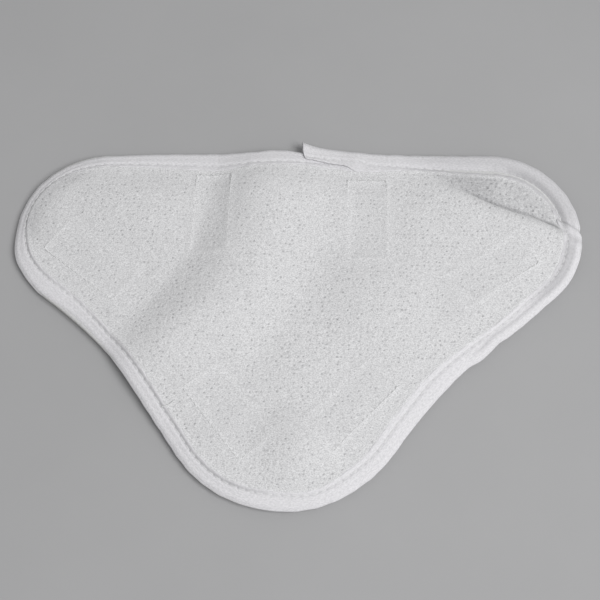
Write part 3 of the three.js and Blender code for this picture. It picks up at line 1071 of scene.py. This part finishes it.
def on_binding(s, inset, up):
    """Points at an inset and height, for each distance along the rim. Arrays are (sections, points)."""
    points, inwards = edge_at(s)
    tail_out, tail_up = tail_shift(s)
    outer = 1 - smooth(inset, 0, 9)
    moved = inset - tail_out[:, None] * outer
    # The crease of the curled corner crosses the tape and kinks it.
    past_kink = s[:, None] - KINK_AT - KINK_SLANT * inset
    kink = 0.5 * bell(past_kink + 2.6, 2.6) - 0.5 * bell(past_kink - 1, 1.6)
    moved = moved - 0.9 * kink * outer
    lifted = up + kink * smooth(up, 0, 3) + tail_up[:, None] * (1 - smooth(inset, 2, 8))
    u = points[:, 0, None] + inwards[:, 0, None] * moved
    v = points[:, 1, None] + inwards[:, 1, None] * moved
    return lie(u, v, lifted)


def binding_shade(s, inset):
    """How much painted shade darkens the tape, from 0 to 1, where it folds, turns, dips to its seam, is
    pierced or cracks.
    """
    from_rim = inset - drawn_in(s)
    from_seam = inset - seam_inset(s)
    widens = smooth(s, 595, 640)
    tuck = bell(from_rim - 4.4 - 1.5 * widens, 1.1 + 1.7 * widens)
    groove = bell(from_seam - 0.6, 0.8) * (1 - 0.85 * hump((s - 268) / 42))
    hole = ((1 + stitch_wave(s)) / 2) ** 8 * bell(from_seam, 0.5)
    shades = [
        ROLL_SHADE * rolled_rim(s),
        DIP_SHADE * between(s, ROLL_DIP) * bell(from_seam + 1.7, 2.2),
        TUCK_SHADE * between(s, TUCK_SHADED) * tuck,
        UP_SHADE * between(s, TURNED_UP) * smooth(from_rim, 2, 4),
        GROOVE_SHADE * between(s, GROOVE_SHADED) * groove,
        HOLE_SHADE * hole,
        CRACK_SHADE * bell(s - KINK_AT - KINK_SLANT * inset, 0.9),
        DOWN_SHADE * between(s, TURNED_DOWN),
    ]
    return np.clip(sum(shades), 0, 1)


def make_binding(material):
    """A strip of tape folded over the raw edges, once round and then over its own start."""
    count = int((EDGE_LENGTH + OVERLAP) / SECTION_STEP)
    s = np.linspace(0, EDGE_LENGTH + OVERLAP, count)
    inset, up = binding_sections(s)
    inner_inset, inner_up = inner_surface(inset, up)
    # The tape's two long edges end in points halfway through its thickness.
    edges = [0, -1]
    tip_inset = inset[:, edges] + 0.12
    tip_up = (up[:, edges] + inner_up[:, edges]) / 2
    inset = np.concatenate([tip_inset[:, :1], inset, tip_inset[:, 1:], inner_inset[:, ::-1]], 1)
    up = np.concatenate([tip_up[:, :1], up, tip_up[:, 1:], inner_up[:, ::-1]], 1)
    points = on_binding(s, inset, up)
    around = inset.shape[1]
    faces = quads(count, around, False, True)
    outer = (around - 2) // 2
    # The two cut ends are closed by strips between the outside and the inside.
    k = np.arange(outer - 1)
    out_now, out_next = 1 + k, 2 + k
    in_now, in_next = around - 1 - k, around - 2 - k
    cap = np.stack([out_now, in_now, in_next, out_next], 1)
    corner = np.array([[0, around - 1, 1], [outer + 1, outer, outer + 2]])
    last = (count - 1) * around
    face_sets = [np.concatenate([faces, cap, cap[:, ::-1] + last]),
                 np.concatenate([corner, corner[:, ::-1] + last])]
    step = np.hypot(np.diff(inset, axis=1), np.diff(up, axis=1))
    across = np.concatenate([np.zeros((count, 1)), np.cumsum(step, 1)], 1)
    weave = np.stack([np.broadcast_to(s[:, None], across.shape), across, np.zeros_like(across)], 2)
    # The tape carries its painted shade in its depth attribute.
    shade = binding_shade(s[:, None], inset)
    return make_piece("binding_tape", points, face_sets, material, "tape", weave=weave.reshape(-1, 3),
                      depth=shade.ravel())


def seam_path(on_face):
    """The middle line of the seam thread: long floats over the tape, short dips into it."""
    count = round(EDGE_LENGTH / STITCH_PITCH) * POINTS_PER_STITCH
    s = np.arange(count) * STITCH_PITCH / POINTS_PER_STITCH
    # Where the tape lies double, the thread is on top of its second layer.
    over = s < OVERLAP - 1
    told = np.where(over, s + EDGE_LENGTH, s)
    inset, up = binding_sections(told)
    seam = np.minimum(seam_inset(told), binding_width(told) - SEAM_FROM_EDGE)
    row = np.arange(len(s))
    half = slice(0, FLAT_POINTS) if on_face else slice(inset.shape[1] - FLAT_POINTS, inset.shape[1])
    flat, level = inset[:, half], up[:, half]
    nearest = np.argmin(np.abs(flat - seam[:, None]), 1)
    surface = level[row, nearest]
    side = 1 if on_face else -1
    hole = (1 + stitch_wave(s)) / 2
    level = surface + side * (THREAD_RADIUS * 0.5 - 0.75 * hole ** 6)
    return on_binding(told, seam[:, None], level[:, None])[:, 0]


def make_seam(name, on_face, material):
    """The thread of the edge seam on one side of the tape."""
    points, faces = tube(seam_path(on_face), THREAD_RADIUS)
    return make_piece(name, points, [faces], material, "thread")


def make_loose_end(material):
    """The cut end of the seam's thread, which lies loose across the tape and the pile."""
    part = np.linspace(0, 1, 20)
    points, inwards = edge_at(LOOSE_END_AT + 1.4 * np.sin(2.4 * part))
    inset = seam_line(LOOSE_END_AT) + LOOSE_END_REACH * part
    place = points + inwards * inset[:, None]
    level = LIP_TOP + 0.5 + 0.3 * np.sin(np.pi * part)
    path = lie(place[:, 0], place[:, 1], level)
    sides = 6
    points, faces = tube(path, 1.4 * THREAD_RADIUS, sides, closed=False)
    ring = np.arange(sides)
    ends = np.stack([ring[::-1], ring + len(points) - len(ring)])
    return make_piece("loose_thread_end", points, [faces, ends], material, "thread")


# ---------------------------------------------------------------- hook patches and their stitching

def on_patch(seat, along, across, up):
    """Points over one patch, from places in the patch's own directions."""
    _, x, y, turn = seat
    cos, sin = heading(turn)
    x, v = x + along * cos - across * sin, y + along * sin + across * cos
    return lie(x - sway(v), v, up)


def stitched_oblong():
    """Even steps round the stitched oblong, which has small round corners."""
    corner = 1.5
    a, b = HALF_LENGTH - STITCH_MARGIN - corner, HALF_WIDTH - STITCH_MARGIN - corner
    turn = np.radians(np.arange(0, 91, 15))
    line = []
    for quarter, (cx, cy) in enumerate([(a, b), (-a, b), (-a, -b), (a, -b)]):
        angle = turn + quarter * np.pi / 2
        line.extend(zip(cx + corner * np.cos(angle), cy + corner * np.sin(angle)))
    line = np.array(line + [line[0]])
    gone = np.concatenate([[0], np.cumsum(np.hypot(*np.diff(line, axis=0).T))])
    stitches = round(gone[-1] / PATCH_STITCH)
    count = stitches * POINTS_PER_STITCH
    s = np.arange(count) / count
    places = np.stack([np.interp(s * gone[-1], gone, line[:, axis]) for axis in (0, 1)], 1)
    dip = ((1 + np.cos(2 * np.pi * s * stitches)) / 2) ** 4
    return places, dip


def make_patch_thread(name, seat, up, dip_depth, material):
    """One line of thread round a patch, dipping towards the cloth at each stitch."""
    places, dip = stitched_oblong()
    path = on_patch(seat, places[:, 0], places[:, 1], up - dip_depth * dip)
    points, faces = tube(path, THREAD_RADIUS)
    return make_piece(name, points, [faces], material, "thread")


def make_hook_base(seat, material):
    """The woven base of one patch, with its corners cut a little round."""
    cell, corner = 1.3, 2
    rows = round(HOOK_TAPE_WIDTH / cell) + 1
    columns = round(HOOK_TAPE_LENGTH / cell) + 1
    along, across = np.meshgrid(np.linspace(-1, 1, columns), np.linspace(-1, 1, rows))
    along, across = along * HALF_LENGTH, across * HALF_WIDTH
    near_a = np.maximum(np.abs(along) - HALF_LENGTH + corner, 0)
    near_b = np.maximum(np.abs(across) - HALF_WIDTH + corner, 0)
    near = np.hypot(near_a, near_b)
    pull = np.where(near > corner, corner / np.maximum(near, 1e-6), 1)
    along = (np.sign(along) * (np.abs(along) - near_a * (1 - pull))).ravel()
    across = (np.sign(across) * (np.abs(across) - near_b * (1 - pull))).ravel()
    groove = bell(outside_tape(along, across) + STITCH_MARGIN, 0.9)
    top = on_patch(seat, along, across, -HOOK_GAP)
    low = on_patch(seat, along, across, HOOK_BASE_BOTTOM + 0.15 * groove)
    size = rows * columns
    number = np.arange(size).reshape(rows, columns)
    rim = np.concatenate([number[0, :-1], number[:-1, -1], number[-1, :0:-1], number[:0:-1, 0]])
    beside = np.roll(rim, -1)
    top_faces = quads(rows, columns)
    wall = np.stack([beside, rim, rim + size, beside + size], 1)
    faces = np.concatenate([top_faces[:, ::-1], top_faces + size, wall[:, ::-1]])
    flat = np.stack([along, across, np.zeros(size)], 1)
    return make_piece(f"hook_base_{seat[0]}", np.concatenate([top, low]), [faces], material, "hook_tape",
                      weave=np.concatenate([flat, flat]))


def make_hooks(seat, material):
    """Rows of small bent hooks, with none where the stitching goes through."""
    a = np.arange(-HALF_LENGTH + 1.2, HALF_LENGTH - 1, HOOK_PITCH_ALONG)
    b = np.arange(-HALF_WIDTH + 1.2, HALF_WIDTH - 1, HOOK_PITCH_ACROSS)
    # The bent wire of one hook: how far it climbs and leans.
    climb = np.array([0, 0.75, 1.0, 1.18, 1.1, 0.85]) * (HOOK_HEIGHT - HOOK_ROOT) / 1.18
    lean = np.array([0, 0.03, 0.1, 0.38, 0.66, 0.72])
    rng = np.random.default_rng(40)
    points, faces = [], []
    start = 0
    for row, across in enumerate(b):
        for along in a + (row % 2) * HOOK_PITCH_ALONG / 2:
            over = outside_tape(along, across)
            if abs(over + STITCH_MARGIN) < 0.55 or over > -0.8:
                continue
            turn = rng.uniform(-0.3, 0.3) + (np.pi if row % 2 else 0)
            path = np.stack([along + lean * np.cos(turn), across + lean * np.sin(turn),
                             HOOK_BASE_BOTTOM + HOOK_ROOT - climb], 1)
            tube_points, tube_faces = tube(path, HOOK_RADIUS, 4, False)
            ends = np.array([[0, 1, 2, 3], len(tube_points) - np.arange(1, 5)])
            points.append(tube_points)
            faces.append(np.concatenate([tube_faces, ends[:, ::-1]]) + start)
            start += len(tube_points)
    flat = np.concatenate(points)
    placed = on_patch(seat, flat[:, 0], flat[:, 1], flat[:, 2])
    return make_piece(f"hooks_{seat[0]}", placed, [np.concatenate(faces)], material, "hook_tape")


# ---------------------------------------------------------------- the pad

def cut_area():
    """The flat area of the cut layers, in square metres, by adding up a fine grid."""
    cell = 1.0
    u, v = np.meshgrid(np.arange(-PAD_WIDTH / 2, PAD_WIDTH / 2, cell), np.arange(-PAD_DEPTH, 0, cell))
    return float((inset_of(u, v) > CUT_INSET).sum()) * cell * cell / 1e6


def build_pad():
    """Makes every piece of the pad and hides the plain parts of the frame that they stand in for."""
    simulate_quilting()
    terry = terry_material()
    backing = woven_material("backing_weave", (0.80, 0.80, 0.79), (0.66, 0.66, 0.65), 0.5, 0.0002, 0.9)
    ground = woven_material("ground_weave", (0.80, 0.80, 0.80), (0.68, 0.68, 0.68), 0.6, 0.0002, 0.95)
    tape = woven_material("tape_weave", (0.92, 0.91, 0.935), (0.76, 0.755, 0.775), 0.42, 0.00012, 0.75)
    wadding = wadding_material()
    sewing = thread_material()
    nylon = hook_material()
    area = cut_area()

    core_bottom = BACK_THICKNESS + GAP
    core = make_layer("wadding", (core_bottom, core_bottom),
                      (core_bottom + CORE_AT_RIM, core_bottom + CORE_THICKNESS), wadding, "wadding",
                      follow=(0, 0.9), fuzz=0.04)
    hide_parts("core_wadding")

    for seat in PATCH_SEATS:
        thread = make_patch_thread(f"quilting_thread_{seat[0]}", seat, PLAIN_TOP + 0.1, 0.9, sewing)
        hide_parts(f"patch_needle_thread_{seat[0]}")
    pile = make_pile(terry)
    face = make_layer("ground_cloth", (RIM_FACE_BOTTOM, FACE_BOTTOM),
                      (RIM_FACE_BOTTOM + 0.7, FACE_BOTTOM + GROUND_THICKNESS), ground, "terry",
                      follow=(0.95, 0.95))
    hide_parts("face_cloth")

    back = make_layer("backing_cloth", (0, 0), (BACK_THICKNESS, BACK_THICKNESS), backing, "backing")
    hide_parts("back_cloth")

    binding = make_binding(tape)
    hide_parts("edge_binding")
    needle = make_seam("binding_needle_thread", True, sewing)
    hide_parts("edge_seam_needle_thread")
    bobbin = make_seam("binding_bobbin_thread", False, sewing)
    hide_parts("edge_seam_bobbin_thread")
    loose = make_loose_end(sewing)

    for seat in PATCH_SEATS:
        base = make_hook_base(seat, nylon)
        hooks = make_hooks(seat, nylon)
        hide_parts(f"hook_patch_{seat[0]}")
        bobbin = make_patch_thread(f"bobbin_thread_{seat[0]}", seat, HOOK_BASE_BOTTOM - THREAD_RADIUS,
                                   -0.3, sewing)
        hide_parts(f"patch_bobbin_thread_{seat[0]}")


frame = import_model()
make_camera()
make_studio()
build_pad()
